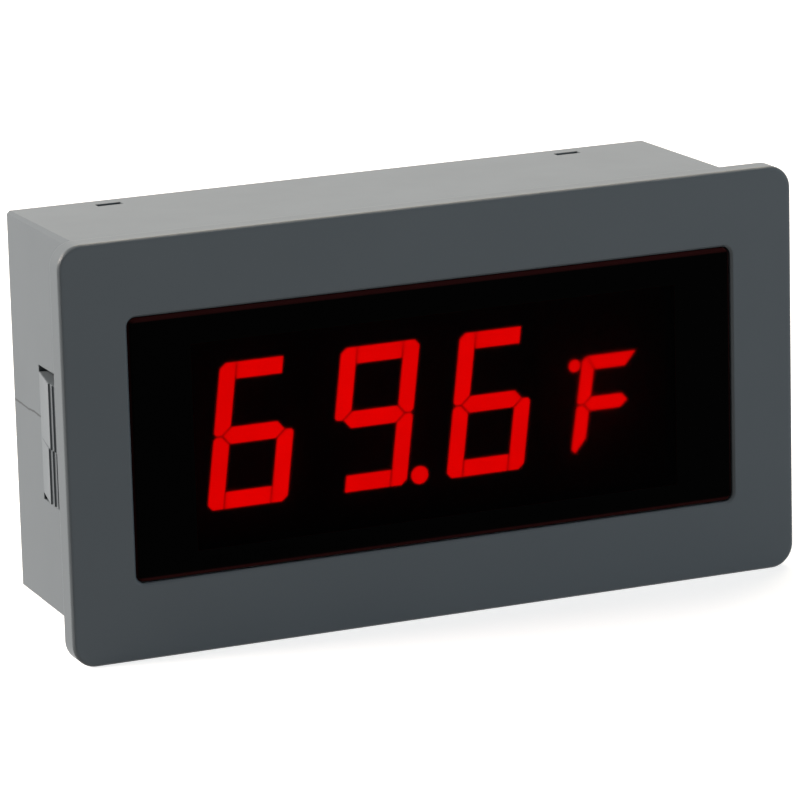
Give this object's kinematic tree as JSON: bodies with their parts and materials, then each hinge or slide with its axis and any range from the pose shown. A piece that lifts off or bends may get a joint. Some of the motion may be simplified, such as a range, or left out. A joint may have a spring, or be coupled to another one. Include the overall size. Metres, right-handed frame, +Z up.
{
  "type": "digital panel meter",
  "caption": "Snap-in panel thermometer in a grey moulded case: red digits behind a tinted window, screw terminals and trimmer at the rear.",
  "frame": {"origin": "middle of the panel cut-out, in the plane of the seat behind the flange", "axes": "+X right as seen from the front, +Y back through the panel, +Z up"},
  "size_m": [0.079, 0.0344, 0.0422],
  "materials": {
    "grey_abs": "moulded grey ABS, satin",
    "red_acrylic": "dark red tinted acrylic sheet, polished",
    "board_green": "glass epoxy board with green solder mask",
    "digit_black": "moulded display case with a black face",
    "segment_lit": "clear red epoxy, lit from behind",
    "segment_dark": "milky epoxy, unlit",
    "tinned_metal": "tinned copper leads",
    "zinc_steel": "zinc plated steel screws",
    "chip_black": "moulded black epoxy",
    "strip_black": "moulded black nylon",
    "can_sleeve": "drawn aluminium can",
    "resistor_ceramic": "glazed black body with tinned ends",
    "capacitor_ceramic": "fired tan ceramic with tinned ends",
    "trimmer_white": "white ceramic base",
    "terminal_green": "moulded green nylon",
    "cage_brass": "nickel plated brass"
  },
  "bodies": {
    "meter": {"board_link_pins": "tinned_metal", "board_link_strip": "strip_black", "ceramic_capacitors": "capacitor_ceramic", "chip_resistors": "resistor_ceramic", "digit_1_case": "digit_black", "digit_1_dark_segments": "segment_dark", "digit_1_leads": "tinned_metal", "digit_1_lit_segments": "segment_lit", "digit_2_case": "digit_black", "digit_2_dark_segments": "segment_dark", "digit_2_leads": "tinned_metal", "digit_2_lit_segments": "segment_lit", "digit_3_case": "digit_black", "digit_3_dark_segments": "segment_dark", "digit_3_leads": "tinned_metal", "digit_3_lit_segments": "segment_lit", "display_board": "board_green", "display_board_screws": "zinc_steel", "driver_chip": "chip_black", "driver_chip_leads": "tinned_metal", "housing": "grey_abs", "input_diode": "chip_black", "rear_cover": "grey_abs", "smoothing_capacitor": "can_sleeve", "terminal_block": "terminal_green", "terminal_board": "board_green", "terminal_contacts": "tinned_metal", "trimmer_base": "trimmer_white", "unit_digit_case": "digit_black", "unit_digit_dark_segments": "segment_dark", "unit_digit_leads": "tinned_metal", "unit_digit_lit_segments": "segment_lit", "voltage_regulator": "chip_black", "voltage_regulator_leads": "tinned_metal", "window_filter": "red_acrylic"},
    "trimmer_rotor": {"trimmer_rotor": "cage_brass"},
    "terminal_screw_1": {"terminal_screw_1": "zinc_steel"},
    "terminal_cage_1": {"terminal_cage_1": "cage_brass"},
    "terminal_screw_2": {"terminal_screw_2": "zinc_steel"},
    "terminal_cage_2": {"terminal_cage_2": "cage_brass"},
    "terminal_screw_3": {"terminal_screw_3": "zinc_steel"},
    "terminal_cage_3": {"terminal_cage_3": "cage_brass"},
    "terminal_screw_4": {"terminal_screw_4": "zinc_steel"},
    "terminal_cage_4": {"terminal_cage_4": "cage_brass"}
  },
  "joints": [
    {"name": "trimmer_turn", "type": "hinge", "parent": "meter", "child": "trimmer_rotor", "pos_m": [-0.02, 0.0208, 0], "axis": [0, 1, 0], "range_deg": [-130, 130]},
    {"name": "screw_1_turn", "type": "hinge", "parent": "meter", "child": "terminal_screw_1", "pos_m": [-0.00162, 0.03, -0.0033], "axis": [0, 1, 0], "range_deg": [-1080, 0]},
    {"name": "cage_1_rise", "type": "slide", "parent": "meter", "child": "terminal_cage_1", "axis": [0, 1, 0], "range_m": [0, 0.0015]},
    {"name": "screw_2_turn", "type": "hinge", "parent": "meter", "child": "terminal_screw_2", "pos_m": [0.00346, 0.03, -0.0033], "axis": [0, 1, 0], "range_deg": [-1080, 0]},
    {"name": "cage_2_rise", "type": "slide", "parent": "meter", "child": "terminal_cage_2", "axis": [0, 1, 0], "range_m": [0, 0.0015]},
    {"name": "screw_3_turn", "type": "hinge", "parent": "meter", "child": "terminal_screw_3", "pos_m": [0.00854, 0.03, -0.0033], "axis": [0, 1, 0], "range_deg": [-1080, 0]},
    {"name": "cage_3_rise", "type": "slide", "parent": "meter", "child": "terminal_cage_3", "axis": [0, 1, 0], "range_m": [0, 0.0015]},
    {"name": "screw_4_turn", "type": "hinge", "parent": "meter", "child": "terminal_screw_4", "pos_m": [0.01362, 0.03, -0.0033], "axis": [0, 1, 0], "range_deg": [-1080, 0]},
    {"name": "cage_4_rise", "type": "slide", "parent": "meter", "child": "terminal_cage_4", "axis": [0, 1, 0], "range_m": [0, 0.0015]}
  ],
  "couplings": [
    {"joint": "screw_1_turn", "follows": "cage_1_rise", "rad_per_m": -12566},
    {"joint": "screw_2_turn", "follows": "cage_2_rise", "rad_per_m": -12566},
    {"joint": "screw_3_turn", "follows": "cage_3_rise", "rad_per_m": -12566},
    {"joint": "screw_4_turn", "follows": "cage_4_rise", "rad_per_m": -12566}
  ]
}
